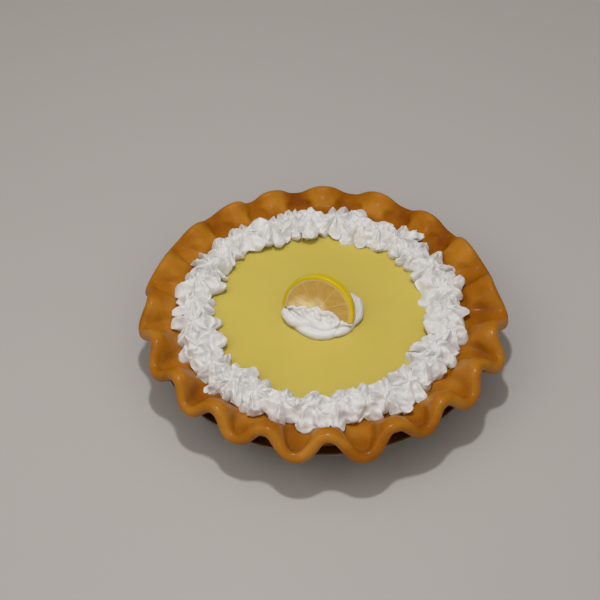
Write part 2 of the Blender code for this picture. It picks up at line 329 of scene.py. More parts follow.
def turned(points, steps):
    """A (radius, height) outline turned a full circle, with the layer that says which point
    of the outline each vertex came from."""
    bm = bmesh.new()
    station = bm.verts.layers.int.new("station")
    verts = []
    for index, point in enumerate(points):
        vert = bm.verts.new((point[0], 0, point[1]))
        vert[station] = index
        verts.append(vert)
    for pair in zip(verts, verts[1:]):
        bm.edges.new(pair)
    bmesh.ops.spin(
        bm, geom=list(bm.verts) + list(bm.edges), cent=(0, 0, 0), axis=(0, 0, 1),
        angle=math.tau, steps=steps, use_merge=True,
    )
    bmesh.ops.remove_doubles(bm, verts=bm.verts, dist=WELD_DISTANCE)
    bmesh.ops.recalc_face_normals(bm, faces=bm.faces)
    return bm, station


def step_of(vert, steps):
    """Which step of the turn a vertex was made at."""
    return round(math.atan2(vert.co.y, vert.co.x) / math.tau * steps) % steps


def add_object(name, bm):
    """Puts the mesh in the scene as an object at the origin."""
    mesh = bpy.data.meshes.new(name)
    bm.to_mesh(mesh)
    bm.free()
    made = bpy.data.objects.new(name, mesh)
    bpy.context.scene.collection.objects.link(made)
    return made


def add_piece(name, bm, material, nodes):
    """Makes the mesh a piece of the pie, which stands for these nodes of the frame."""
    piece = add_object(name, bm)
    piece.data.materials.append(material)
    piece.data.shade_smooth()
    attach(piece, "root")
    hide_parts(*nodes)
    return piece


# Materials

def linear(code):
    """The linear colour of an sRGB hex value, with alpha 1."""
    shares = [int(code[i:i + 2], 16) / 255 for i in (1, 3, 5)]
    return (*[s / 12.92 if s <= 0.04045 else ((s + 0.055) / 1.055) ** 2.4 for s in shares], 1)


def per_metre(size_mm):
    """The texture scale that gives a pattern this size in millimetres."""
    return 1 / (size_mm * MM)


def add_node(owner, kind, settings=None, **inputs):
    """Adds a shader node to a material or the world. An input given a socket is linked to it, and
    any other is set.

    Names of inputs have _ for a space, and i6 stands for the input numbered 6.
    """
    tree = owner.node_tree
    made = tree.nodes.new("ShaderNode" + kind)
    for name, value in (settings or {}).items():
        setattr(made, name, value)
    for name, value in inputs.items():
        numbered = name[0] == "i" and name[1:].isdigit()
        socket = made.inputs[int(name[1:]) if numbered else name.replace("_", " ")]
        if isinstance(value, bpy.types.NodeSocket):
            tree.links.new(value, socket)
        else:
            socket.default_value = value
    return made


def new_material(name):
    """A material with no nodes yet."""
    material = bpy.data.materials.new(name)
    material.use_nodes = True
    material.node_tree.nodes.clear()
    return material


def cast_crust():
    """Cast resin, airbrushed: golden on the ridges and lips, through amber to toasted in the
    hollows, where the darkening is partly painted shade, as it is under the lip; the left and the
    lip's outer face are lightened as painted light. Satin, with a thin lacquer in front and a
    duller back, and a faint cast grain."""
    made = new_material("cast_resin_crust")
    place = add_node(made, "TexCoord").outputs["Object"]
    # The toast attribute mixes browning with painted shade in the hollows, at the back and under the lip,
    # and painted light on the left and on the lip's outer face.
    toast_and_shade = add_node(made, "Attribute", {"attribute_name": "toast_and_shade"}).outputs["Fac"]
    cloud = add_node(made, "TexNoise", Vector=place, Scale=per_metre(24), Detail=3.0).outputs["Fac"]
    mottle = add_node(made, "TexNoise", Vector=place, Scale=per_metre(5), Detail=4.0).outputs["Fac"]
    drift = add_node(made, "MapRange", Value=cloud, From_Min=0.3, From_Max=0.7, To_Min=-0.35, To_Max=0.35)
    shade = add_node(
        made, "Math", {"operation": "ADD", "use_clamp": True}, i0=toast_and_shade, i1=drift.outputs["Result"],
    )
    golden = add_node(made, "MapRange", Value=shade.outputs["Value"], From_Max=0.45)
    amber = add_node(
        made, "Mix", {"data_type": "RGBA"}, Factor=golden.outputs["Result"],
        i6=linear("#B87B22"), i7=linear("#A26206"),
    ).outputs[2]
    dark = add_node(made, "MapRange", Value=shade.outputs["Value"], From_Min=0.45)
    browned_and_shaded = add_node(
        made, "Mix", {"data_type": "RGBA"}, Factor=dark.outputs["Result"],
        i6=amber, i7=linear("#824200"),
    ).outputs[2]
    freckle = add_node(made, "MapRange", Value=mottle, From_Min=0.58, From_Max=0.75, To_Max=0.35)
    freckled = add_node(
        made, "Mix", {"data_type": "RGBA"}, Factor=freckle.outputs["Result"],
        i6=browned_and_shaded, i7=linear("#9E5A04"),
    ).outputs[2]
    depth = add_node(made, "SeparateXYZ", Vector=place).outputs["Y"]
    worn = add_node(
        made, "MapRange", Value=depth, From_Min=-20 * MM, From_Max=90 * MM, To_Min=0.42, To_Max=0.6,
    )
    gloss = add_node(made, "MapRange", Value=mottle, From_Min=0.3, From_Max=0.7, To_Min=-0.05, To_Max=0.07)
    rough = add_node(
        made, "Math", {"operation": "ADD"}, i0=worn.outputs["Result"], i1=gloss.outputs["Result"],
    )
    lacquer = add_node(
        made, "MapRange", Value=depth, From_Min=-60 * MM, From_Max=40 * MM, To_Min=0.28, To_Max=0.03,
    )
    grain = add_node(made, "TexNoise", Vector=place, Scale=per_metre(1.2), Detail=3.0).outputs["Fac"]
    bump = add_node(made, "Bump", Strength=0.35, Distance=0.12 * MM, Height=grain)
    shader = add_node(
        made, "BsdfPrincipled", Base_Color=freckled, Roughness=rough.outputs["Value"], IOR=1.5,
        Normal=bump.outputs["Normal"], Subsurface_Weight=0.06,
        Subsurface_Radius=(1.0, 0.4, 0.12), Subsurface_Scale=2.5 * MM,
        Specular_IOR_Level=0.08, Coat_Weight=lacquer.outputs["Result"], Coat_Roughness=0.19,
    )
    add_node(made, "OutputMaterial", Surface=shader.outputs["BSDF"])
    return made


def poured_filling():
    """Tinted gel poured and left to level: a smooth satin yellow with faint clouds in it."""
    made = new_material("poured_lemon_gel")
    place = add_node(made, "TexCoord").outputs["Object"]
    cloud = add_node(made, "TexNoise", Vector=place, Scale=per_metre(45), Detail=2.0).outputs["Fac"]
    tint = add_node(
        made, "Mix", {"data_type": "RGBA"}, Factor=cloud, i6=linear("#D1BF5D"), i7=linear("#C9B653"),
    ).outputs[2]
    ripple = add_node(made, "TexNoise", Vector=place, Scale=per_metre(9), Detail=2.0).outputs["Fac"]
    bump = add_node(made, "Bump", Strength=0.1, Distance=0.08 * MM, Height=ripple)
    gloss = add_node(made, "MapRange", Value=ripple, From_Min=0.3, From_Max=0.7, To_Min=0.3, To_Max=0.36)
    shader = add_node(
        made, "BsdfPrincipled", Base_Color=tint, Roughness=gloss.outputs["Result"], IOR=1.45,
        Normal=bump.outputs["Normal"], Subsurface_Weight=0.15,
        Subsurface_Radius=(1.0, 0.8, 0.3), Subsurface_Scale=3 * MM,
    )
    add_node(made, "OutputMaterial", Surface=shader.outputs["BSDF"])
    return made


def piped_cream():
    """Stiff imitation cream, piped: white, soft-edged where light sinks in, and finely pitted."""
    made = new_material("piped_white_cream")
    place = add_node(made, "TexCoord").outputs["Object"]
    cloud = add_node(made, "TexNoise", Vector=place, Scale=per_metre(14), Detail=2.0).outputs["Fac"]
    tint = add_node(
        made, "Mix", {"data_type": "RGBA"}, Factor=cloud, i6=linear("#E1E1E0"), i7=linear("#D9D9D8"),
    ).outputs[2]
    grain = add_node(made, "TexNoise", Vector=place, Scale=per_metre(1.1), Detail=4.0).outputs["Fac"]
    bump = add_node(made, "Bump", Strength=0.35, Distance=0.15 * MM, Height=grain)
    shader = add_node(
        made, "BsdfPrincipled", Base_Color=tint, Roughness=0.5, IOR=1.42,
        Normal=bump.outputs["Normal"], Subsurface_Weight=0.2,
        Subsurface_Radius=(1.0, 0.9, 0.8), Subsurface_Scale=1 * MM,
    )
    add_node(made, "OutputMaterial", Surface=shader.outputs["BSDF"])
    return made


def pressed_tin():
    """Aluminium sheet, rolled and pressed: grey, satin, with a faint rolling grain."""
    made = new_material("pressed_aluminium")
    place = add_node(made, "TexCoord").outputs["Object"]
    stretch = add_node(made, "Mapping", Vector=place, Scale=(1, 0.05, 1)).outputs["Vector"]
    grain = add_node(made, "TexNoise", Vector=stretch, Scale=per_metre(0.8), Detail=4.0).outputs["Fac"]
    cloud = add_node(made, "TexNoise", Vector=place, Scale=per_metre(18), Detail=3.0).outputs["Fac"]
    tint = add_node(
        made, "Mix", {"data_type": "RGBA"}, Factor=cloud, i6=linear("#98927E"), i7=linear("#857F6B"),
    ).outputs[2]
    gloss = add_node(made, "MapRange", Value=grain, From_Min=0.3, From_Max=0.7, To_Min=0.26, To_Max=0.38)
    bump = add_node(made, "Bump", Strength=0.2, Distance=0.03 * MM, Height=grain)
    shader = add_node(
        made, "BsdfPrincipled", Base_Color=tint, Metallic=1.0, Roughness=gloss.outputs["Result"],
        Normal=bump.outputs["Normal"],
    )
    add_node(made, "OutputMaterial", Surface=shader.outputs["BSDF"])
    return made


def lemon_peel():
    """Moulded plastic peel: glossy yellow with the shallow pores of a real one, greener at the end
    that is less ripe, and brighter at the other end as painted light."""
    made = new_material("moulded_lemon_peel")
    place = add_node(made, "TexCoord").outputs["Object"]
    across = add_node(made, "SeparateXYZ", Vector=place).outputs["X"]
    # Greener towards the left end, as less ripe peel, and brighter towards the right end as painted light.
    ripeness_and_light = add_node(made, "MapRange", Value=across, From_Min=-28 * MM, From_Max=18 * MM)
    ripened_and_lit = add_node(
        made, "Mix", {"data_type": "RGBA"}, Factor=ripeness_and_light.outputs["Result"],
        i6=linear("#C6B704"), i7=linear("#E7C904"),
    ).outputs[2]
    cloud = add_node(made, "TexNoise", Vector=place, Scale=per_metre(12), Detail=2.0).outputs["Fac"]
    drift = add_node(made, "MapRange", Value=cloud, From_Min=0.4, From_Max=0.7, To_Max=0.3)
    tint = add_node(
        made, "Mix", {"data_type": "RGBA"}, Factor=drift.outputs["Result"],
        i6=ripened_and_lit, i7=linear("#D6B004"),
    ).outputs[2]
    pores = add_node(made, "TexVoronoi", Vector=place, Scale=per_metre(1.3)).outputs["Distance"]
    bump = add_node(made, "Bump", Strength=0.25, Distance=0.15 * MM, Height=pores)
    shader = add_node(
        made, "BsdfPrincipled", Base_Color=tint, Roughness=0.3, IOR=1.5, Specular_IOR_Level=0.25,
        Normal=bump.outputs["Normal"], Coat_Weight=0.15, Coat_Roughness=0.12,
    )
    add_node(made, "OutputMaterial", Surface=shader.outputs["BSDF"])
    return made


def lemon_pith():
    """The pale inner rind, painted tan on the moulding."""
    made = new_material("painted_lemon_pith")
    place = add_node(made, "TexCoord").outputs["Object"]
    cloud = add_node(made, "TexNoise", Vector=place, Scale=per_metre(3), Detail=3.0).outputs["Fac"]
    tint = add_node(
        made, "Mix", {"data_type": "RGBA"}, Factor=cloud, i6=linear("#E2C48C"), i7=linear("#D4B074"),
    ).outputs[2]
    bump = add_node(made, "Bump", Strength=0.2, Distance=0.1 * MM, Height=cloud)
    shader = add_node(
        made, "BsdfPrincipled", Base_Color=tint, Roughness=0.4, IOR=1.5, Normal=bump.outputs["Normal"],
    )
    add_node(made, "OutputMaterial", Surface=shader.outputs["BSDF"])
    return made


def lemon_pulp():
    """Tinted translucent plastic: amber, paler at the core, with fine vesicles along the radius."""
    made = new_material("tinted_lemon_pulp")
    core = add_node(made, "Attribute", {"attribute_name": "core"}).outputs["Fac"]
    membrane = add_node(made, "Attribute", {"attribute_name": "membrane"}).outputs["Fac"]
    vesicle = add_node(made, "Attribute", {"attribute_name": "vesicle"}).outputs["Fac"]
    flesh = add_node(
        made, "Mix", {"data_type": "RGBA"}, Factor=core, i6=linear("#CBA44E"), i7=linear("#F6E6B8"),
    ).outputs[2]
    juice = add_node(made, "MapRange", Value=vesicle, To_Max=0.35)
    streaked = add_node(
        made, "Mix", {"data_type": "RGBA"}, Factor=juice.outputs["Result"], i6=flesh, i7=linear("#E0BC6E"),
    ).outputs[2]
    webbed = add_node(
        made, "Mix", {"data_type": "RGBA"}, Factor=membrane, i6=streaked, i7=linear("#EBD8A6"),
    ).outputs[2]
    shader = add_node(
        made, "BsdfPrincipled", Base_Color=webbed, Roughness=0.2, IOR=1.5, Subsurface_Weight=0.2,
        Subsurface_Radius=(1.0, 0.7, 0.3), Subsurface_Scale=2 * MM,
    )
    add_node(made, "OutputMaterial", Surface=shader.outputs["BSDF"])
    return made


def studio_floor():
    """Painted board: matt, pale and plain."""
    made = new_material("pale_floor")
    place = add_node(made, "TexCoord").outputs["Object"]
    cloud = add_node(made, "TexNoise", Vector=place, Scale=per_metre(400), Detail=2.0).outputs["Fac"]
    tint = add_node(
        made, "Mix", {"data_type": "RGBA"}, Factor=cloud, i6=linear("#BBB8B5"), i7=linear("#B6B3B0"),
    ).outputs[2]
    shader = add_node(made, "BsdfPrincipled", Base_Color=tint, Roughness=0.55)
    add_node(made, "OutputMaterial", Surface=shader.outputs["BSDF"])
    return made


# Tin, crust and filling

def make_tin(finish):
    """Turned: a flat base, a sloping wall, a narrow flange and a rolled bead."""
    bead_centre = (TIN_RIM_RADIUS - TIN_BEAD_RADIUS, TIN_HEIGHT - TIN_BEAD_RADIUS)
    corner_centre = (TIN_BASE_RADIUS - TIN_CORNER, TIN_CORNER)
    down = -math.pi / 2
    flange = TIN_HEIGHT - TIN_BEAD_RADIUS - TIN_SHEET / 2
    outline = [
        (0, TIN_SHEET),
        *arc(corner_centre, TIN_CORNER - TIN_SHEET, down, TIN_CORNER_END, TIN_CORNER_POINTS),
        (TIN_MOUTH_RADIUS, flange + TIN_SHEET),
        *arc(bead_centre, TIN_BEAD_RADIUS, TIN_BEAD_ARC, -TIN_BEAD_ARC, TIN_BEAD_POINTS),
        (TIN_MOUTH_RADIUS + TIN_SHEET, flange),
        *arc(corner_centre, TIN_CORNER, TIN_CORNER_END, down, TIN_CORNER_POINTS),
        (0, 0),
    ]
    bm, _ = turned(outline, TIN_STEPS)
    tin = add_piece("pie_tin", bm, finish, ["tin"])
    tin.data.set_sharp_from_angle(angle=SHARP_EDGE)


def ruffle_at(turn):
    """Angle, ridge share (1 on a ridge, 0 in a hollow) and hollow's reach, at a part of a turn."""
    count = len(RIDGE_DEGREES)
    ruffle, phase = divmod(turn * count, 1)
    ruffle = int(ruffle) % count
    start = RIDGE_DEGREES[ruffle]
    span = (RIDGE_DEGREES[(ruffle + 1) % count] - start) % 360
    angle = math.radians(start + phase * span)
    phase -= RUFFLE_SQUARENESS * math.sin(2 * math.tau * phase)
    return angle, (1 + math.cos(math.tau * phase)) / 2, HOLLOW_REACH_MM[ruffle] * MM


def spoke_point(angle, radius, height):
    """The point at this angle, radius and height round the pie's middle."""
    return Vector((radius * math.cos(angle), radius * math.sin(angle), height))


def lip_centre(angle, ridge, reach):
    """The middle of the rolled lip, which rises and draws in from each hollow to each ridge."""
    front = -math.sin(angle)
    low = HOLLOW_LIP_HEIGHT + HOLLOW_FRONT_RISE * front
    high = RIDGE_LIP_HEIGHT + RIDGE_FRONT_RISE * front
    return spoke_point(angle, blend(reach - LIP_RADIUS, RIDGE_LIP_RADIAL, ridge), blend(low, high, ridge))


def crust_section(angle, ridge, centre, along):
    """(x, y, z, toast and shade) from the crust's middle, over its lip, to its underside.

    The slope cups less at the back of the pie. It is browned and darkened as painted shade more
    there, and lightened as painted light on the left.
    """
    spoke = spoke_point(angle, 1, 0)
    out = (spoke - along * spoke.dot(along)).normalized()
    up = out.cross(along)
    front = (1 - math.sin(angle)) / 2
    cup = front * front
    left = max(-math.cos(angle), 0) ** 2
    rear = (1 - left) * (1 - front) ** 2
    basin = eased(clamped((ridge - BASIN_FLAT) / (1 - BASIN_FLAT - RIDGE_FLAT)))

    def at(radius, height, browning):
        return (*spoke_point(angle, radius, height), browning)

    def between(places, browning):
        (low, low_back, low_front), (high, high_back, high_front) = places
        height = blend(blend(low_back, low_front, cup), blend(high_back, high_front, front), basin)
        return at(blend(low, high, basin) * MM, height * MM, browning)

    def beside(outward, upward):
        return centre + out * outward * LIP_RADIUS + up * upward * LIP_RADIUS

    # Hollows are darkened as painted shade, most at the back, and lightened on the left as painted light.
    hollow_toast_and_shade = blend(blend(BACK_TOAST_AND_SHADE, FRONT_TOAST_AND_SHADE, front), LEFT_PAINTED_LIGHT, left)
    foot_toast_and_shade = blend(SLOPE_FOOT_TOAST_AND_SHADE * hollow_toast_and_shade, SLOPE_FOOT_RIDGE_TOAST, basin)
    slope_toast_and_shade = blend(hollow_toast_and_shade, RIDGE_TOAST, basin)
    lip_foot = blend(blend(*LIP_FOOT_HOLLOW, cup), blend(*LIP_FOOT_RIDGE, front), ridge)
    arc_end = blend(LIP_ARC_END_HOLLOW, LIP_ARC_END_RIDGE, ridge)
    lip = arc((0, 0), 1, LIP_ARC_START, arc_end, LIP_ARC_POINTS)
    # The lip's outer face is lightened as painted light, its inner top and underside darkened as painted
    # shade, the more so at the back.
    lip_toast_light_and_shade = [blend(blend(toast_and_shade, BACK_TOAST_AND_SHADE, rear), RIDGE_TOAST, ridge) for toast_and_shade in LIP_TOAST_LIGHT_AND_SHADE]
    shown = [
        at(CRUST_SEAT_INNER, CRUST_SEAT_HEIGHT, FLOOR_TOAST),
        at(CRUST_SEAT_OUTER, CRUST_SEAT_HEIGHT, HIDDEN_TOAST),
        between(SLOPE_FOOT, foot_toast_and_shade),
        between(SLOPE_TOP, slope_toast_and_shade),
        (*beside(-LIP_FOOT_INWARD, lip_foot), slope_toast_and_shade),
        *[(*beside(*point), toast_and_shade) for point, toast_and_shade in zip(lip, lip_toast_light_and_shade)],
        # Under the lip the crust is darkened as painted shade.
        between(UNDER_LIP, UNDER_PAINTED_SHADE),
        between(UNDER_FOOT, UNDER_PAINTED_SHADE),
        at(TIN_MOUTH_RADIUS, TIN_HEIGHT + GAP, HIDDEN_TOAST),
        at(TIN_MOUTH_RADIUS - 3 * GAP, TIN_HEIGHT - TIN_BEAD_RADIUS, HIDDEN_TOAST),
    ]
    floor = TIN_SHEET + GAP
    return [
        (0, 0, floor + CRUST_FLOOR, FLOOR_TOAST),
        at(TIN_BASE_RADIUS - CRUST_WALL, floor + CRUST_FLOOR, FLOOR_TOAST),
        *smooth_line(shown, POINTS_PER_SPAN),
        at(TIN_BASE_RADIUS - TIN_SHEET - 2 * GAP, TIN_CORNER + GAP, HIDDEN_TOAST),
        at(TIN_BASE_RADIUS - TIN_CORNER - GAP, floor, HIDDEN_TOAST),
        (0, 0, floor, HIDDEN_TOAST),
    ]


def make_crust(finish):
    """Turned from one section, with each point then moved to where the ruffle has it, and with low
    lumps that fade out where the crust meets the tin."""
    steps = STEPS_PER_RUFFLE * len(RIDGE_DEGREES)
    ruffles = [ruffle_at(step / steps) for step in range(steps)]
    centres = [lip_centre(*ruffle) for ruffle in ruffles]
    sections = []
    for step, (angle, ridge, _) in enumerate(ruffles):
        along = (centres[(step + 1) % steps] - centres[step - 1]).normalized()
        sections.append(crust_section(angle, ridge, centres[step], along))
    outline = [(math.hypot(x, y), z) for x, y, z, _ in sections[0]]
    bm, station = turned(outline, steps)
    # Each vertex carries its browning with the painted shade and painted light from its section.
    toast_and_shade = bm.verts.layers.float.new("toast_and_shade")
    for vert in bm.verts:
        *vert.co, vert[toast_and_shade] = sections[step_of(vert, steps)][vert[station]]
        clear = clamped((vert.co.z - TIN_HEIGHT - GAP) / LUMP_RAMP)
        vert.co += clear * LUMP_HEIGHT * noise.noise_vector(vert.co / LUMP_SIZE)
    add_piece("ruffled_crust", bm, finish, ["crust"])


def make_filling(finish):
    """Turned: it fills the crust from its floor to a level top, which has the faintest of ripples."""
    radius = CRUST_SEAT_INNER - 2 * GAP
    floor = TIN_SHEET + CRUST_FLOOR + 2 * GAP
    outline = [(radius * ring / FILLING_RINGS, FILLING_HEIGHT) for ring in range(FILLING_RINGS + 1)]
    outline += [(TIN_BASE_RADIUS - CRUST_WALL - GAP, floor), (0, floor)]
    bm, station = turned(outline, FILLING_STEPS)
    for vert in bm.verts:
        if vert[station] < FILLING_RINGS:
            vert.co.z += FILLING_RIPPLE * (noise.noise(vert.co / FILLING_RIPPLE_SIZE) - 0.5)
    filling = add_piece("lemon_filling", bm, finish, ["filling"])
    filling.data.set_sharp_from_angle(angle=SHARP_EDGE)


# Ring of stars

def creased(point, size):
    """Height of sharp crests that wander about so far apart: 0.5 on a crest, and less off it."""
    return 0.5 - 2 * abs(noise.noise(point / size))


def crumple(point):
    """How far stiff cream is pushed about at a point: a slow warp, a ragged edge, sharp folds and
    fine creases."""
    fold = FOLD_DEPTH * creased(point, FOLD_SIZE)
    crease = CREASE_DEPTH * creased(point, CREASE_SIZE)
    warp = WARP_DEPTH * noise.noise_vector(point / WARP_SIZE)
    tooth = TOOTH_DEPTH * noise.noise_vector(point / TOOTH_SIZE)
    return warp + tooth + Vector((0, 0, fold + crease))


def make_star(index, finish):
    """One piped star: petals that run out from a low twisted middle, with grooves between them. They
    are uneven in width, reach, lean and lift, and end in anything from a blunt lobe to a point."""
    uneven = random.Random(STAR_SEED + index)
    petals = uneven.choice(PETAL_COUNTS)
    steps = petals * PETAL_STEPS
    size = STAR_RADIUS * uneven.uniform(1 - STAR_SPREAD, 1 + STAR_SPREAD)
    height = STAR_HEIGHT * uneven.uniform(1 - STAR_SPREAD, 1 + STAR_SPREAD)
    twist = uneven.uniform(*STAR_TWISTS)
    widths = [uneven.uniform(*PETAL_WIDTHS) for _ in range(petals)]
    reaches = [uneven.uniform(*PETAL_REACHES) for _ in range(petals)]
    leans = [uneven.uniform(-PETAL_LEAN, PETAL_LEAN) for _ in range(petals)]
    ends = [uneven.uniform(*PETAL_ENDS) for _ in range(petals)]
    groove = uneven.uniform(*PETAL_GROOVES)
    lifts = [uneven.uniform(-PETAL_LIFT, PETAL_LIFT) for _ in range(petals)]
    first = uneven.uniform(0, math.tau)
    starts = [first + math.tau * sum(widths[:petal]) / sum(widths) for petal in range(petals)]

    side = smooth_line(STAR_SIDE, STAR_SPAN_POINTS) + [(0, STAR_SIDE[-1][1])]
    bm, station = turned(side, steps)
    spot = RING_RADIUS + uneven.uniform(-RING_WANDER, RING_WANDER)
    foot = RING_CENTRE + spoke_point(math.radians(STAR_DEGREES[index]), spot, FILLING_HEIGHT)
    tilt = Euler((uneven.uniform(-STAR_TILT, STAR_TILT), uneven.uniform(-STAR_TILT, STAR_TILT), 0))
    for vert in bm.verts:
        petal, across = divmod(step_of(vert, steps), PETAL_STEPS)
        across = across / PETAL_STEPS
        share, level = side[vert[station]]
        turn = starts[petal] + across * math.tau * widths[petal] / sum(widths) + twist * (1 - share) ** 2
        fold = 2 * across - 1
        fold = min(abs(fold + leans[petal] * share * (1 - fold * fold)), 1)
        crest = blend((1 - fold) ** PETAL_KEENNESS, (1 - fold * fold) ** ends[petal], share ** 3)
        radius = size * share * blend(1, reaches[petal], share) * (1 - groove * share * (1 - crest))
        shoulder = min(share / PETAL_SHOULDER, 1)
        sunk = PETAL_SINK * (1 - crest) * shoulder - lifts[petal] * share * crest
        top = max(level, 0)
        vert.co = (radius * math.cos(turn), radius * math.sin(turn), height * (level - sunk * top ** 0.5))
        vert.co.rotate(tilt)
        vert.co += foot
        vert.co += crumple(vert.co)
    number = f"{index + 1:02d}"
    add_piece("piped_star_" + number, bm, finish, ["cream_star_" + number])


# Dollop and lemon slice

def slice_place():
    """Stands a slice that was made flat round the origin in its place in the dollop."""
    turn = Euler((math.pi / 2 - SLICE_LEAN, 0, SLICE_TURN)).to_matrix().to_4x4()
    return Matrix.Translation(SLICE_CENTRE) @ turn


def add_tube(bm, line, half_width, half_height):
    """Sweeps a flattened ring along a line. It swells from a tip at the start to a tip at the end."""
    rim = bmesh.ops.create_circle(bm, segments=RIBBON_SIDES, radius=1)["verts"]
    edges = list(dict.fromkeys(edge for vert in rim for edge in vert.link_edges))
    start = edges
    last = len(line) - 1
    placed = Matrix()
    for index, point in enumerate(line):
        if index:
            made = bmesh.ops.extrude_edge_only(bm, edges=edges)["geom"]
            rim = [item for item in made if isinstance(item, bmesh.types.BMVert)]
            made_edges = [item for item in made if isinstance(item, bmesh.types.BMEdge)]
            edges = [edge for edge in made_edges if edge.verts[0] in rim and edge.verts[1] in rim]
        along = (line[min(index + 1, last)] - line[max(index - 1, 0)]).normalized()
        aside = along.cross(Vector((0, 0, 1))).normalized()
        swell = max(1 - abs(2 * index / last - 1) ** 3, RIBBON_TIP) ** 0.5
        columns = (aside * half_width * swell, aside.cross(along) * half_height * swell, along)
        target = Matrix.Translation(point) @ Matrix(columns).transposed().to_4x4()
        bmesh.ops.transform(bm, matrix=target @ placed.inverted(), verts=rim)
        placed = target
    bmesh.ops.edgeloop_fill(bm, edges=start)
    bmesh.ops.edgeloop_fill(bm, edges=edges)


def ribbon_line(first, last, first_radius, last_radius, height):
    """A level line round the dollop, from one angle and radius to another."""
    points = []
    for step in range(RIBBON_STEPS + 1):
        share = step / RIBBON_STEPS
        angle = math.radians(blend(first, last, share))
        radius = blend(first_radius, last_radius, share * share) * MM
        points.append(DOLLOP_CENTRE + spoke_point(angle, radius, height * MM))
    return points


def with_modifier(bm, kind, **settings):
    """The mesh as one modifier leaves it."""
    working = add_object("working", bm)
    mesh = working.data
    modifier = working.modifiers.new(kind, kind)
    for name, value in settings.items():
        setattr(modifier, name, value)
    made = bmesh.new()
    made.from_object(working, bpy.context.evaluated_depsgraph_get())
    bpy.data.objects.remove(working)
    bpy.data.meshes.remove(mesh)
    return made


def slot_cutter():
    """The slice's body, grown a little, as an object to cut with."""
    radius = SLICE_RADIUS + SLOT_CLEARANCE
    front = SLOT_CLEARANCE
    back = -SLICE_THICKNESS - SLOT_CLEARANCE
    bm, _ = turned([(0, front), (radius, front), (radius, back), (0, back)], SLICE_STEPS)
    keep_half(bm)
    bm.transform(slice_place())
    return add_object("slot", bm)


def make_dollop(finish):
    """The ribbons, the folds and the humps under them, joined into one skin, crumpled a little,
    cut level at the foot and slotted for the slice."""
    bm = bmesh.new()
    for middle, sizes, turn in HUMPS:
        place = Matrix.Translation(Vector(middle) * MM) @ Matrix.Rotation(math.radians(turn), 4, "Z")
        place = place @ Matrix.Diagonal((*sizes, 1)) @ Matrix.Diagonal((MM, MM, MM, 1))
        bmesh.ops.create_uvsphere(
            bm, u_segments=HUMP_SEGMENTS, v_segments=HUMP_RINGS, radius=1, matrix=place,
        )
    for first, last, first_radius, last_radius, half_width, half_height, height in RIBBONS:
        line = ribbon_line(first, last, first_radius, last_radius, height)
        add_tube(bm, line, half_width * MM, half_height * MM)
    for points, thick in FOLDS:
        line = [Vector(point) * MM for point in smooth_line(points, FOLD_SPAN_POINTS)]
        add_tube(bm, line, thick * MM, thick * MM)
    bmesh.ops.recalc_face_normals(bm, faces=bm.faces)
    bm = with_modifier(bm, "REMESH", mode="VOXEL", voxel_size=DOLLOP_VOXEL)
    bmesh.ops.smooth_vert(
        bm, verts=bm.verts, factor=0.5, use_axis_x=True, use_axis_y=True, use_axis_z=True,
    )
    for vert in bm.verts:
        top = clamped((vert.co.z - CRUMPLE_FROM) / CRUMPLE_RISE)
        vert.co += blend(CRUMPLE_LOW, CRUMPLE_HIGH, top) * crumple(vert.co)
    bmesh.ops.bisect_plane(
        bm, geom=list(bm.verts) + list(bm.edges) + list(bm.faces), dist=CUT_DISTANCE,
        plane_co=(0, 0, FILLING_HEIGHT - DOLLOP_SUNK), plane_no=(0, 0, -1), clear_outer=True,
    )
    bmesh.ops.holes_fill(bm, edges=[edge for edge in bm.edges if edge.is_boundary], sides=0)
    cutter = slot_cutter()
    bm = with_modifier(bm, "BOOLEAN", operation="DIFFERENCE", object=cutter)
    bpy.data.objects.remove(cutter)
    add_piece("cream_dollop", bm, finish, ["cream_swirl"])


def keep_half(bm):
    """Cuts a turned body of the slice off below its straight edge and closes the cut."""
    bmesh.ops.bisect_plane(
        bm, geom=list(bm.verts) + list(bm.edges) + list(bm.faces), dist=CUT_DISTANCE,
        plane_co=(0, -SLICE_BURIED, 0), plane_no=(0, -1, 0), clear_outer=True,
    )
    bmesh.ops.holes_fill(bm, edges=[edge for edge in bm.edges if edge.is_boundary], sides=0)


def slice_ring(name, inner, outer, rounding, recess, finish, nodes):
    """A ring of the slice, as wide as from one radius to the other, with its outer corners rounded."""
    front = -recess
    back = -SLICE_THICKNESS + recess
    outline = [
        (inner, front),
        *arc((outer - rounding, front - rounding), rounding, math.pi / 2, 0, SLICE_ROUND_POINTS),
        *arc((outer - rounding, back + rounding), rounding, 0, -math.pi / 2, SLICE_ROUND_POINTS),
        (inner, back),
        (inner, front),
    ]
    bm, _ = turned(outline, SLICE_STEPS)
    keep_half(bm)
    bm.transform(slice_place())
    piece = add_piece(name, bm, finish, nodes)
    piece.data.set_sharp_from_angle(angle=SLICE_SHARP_EDGE)


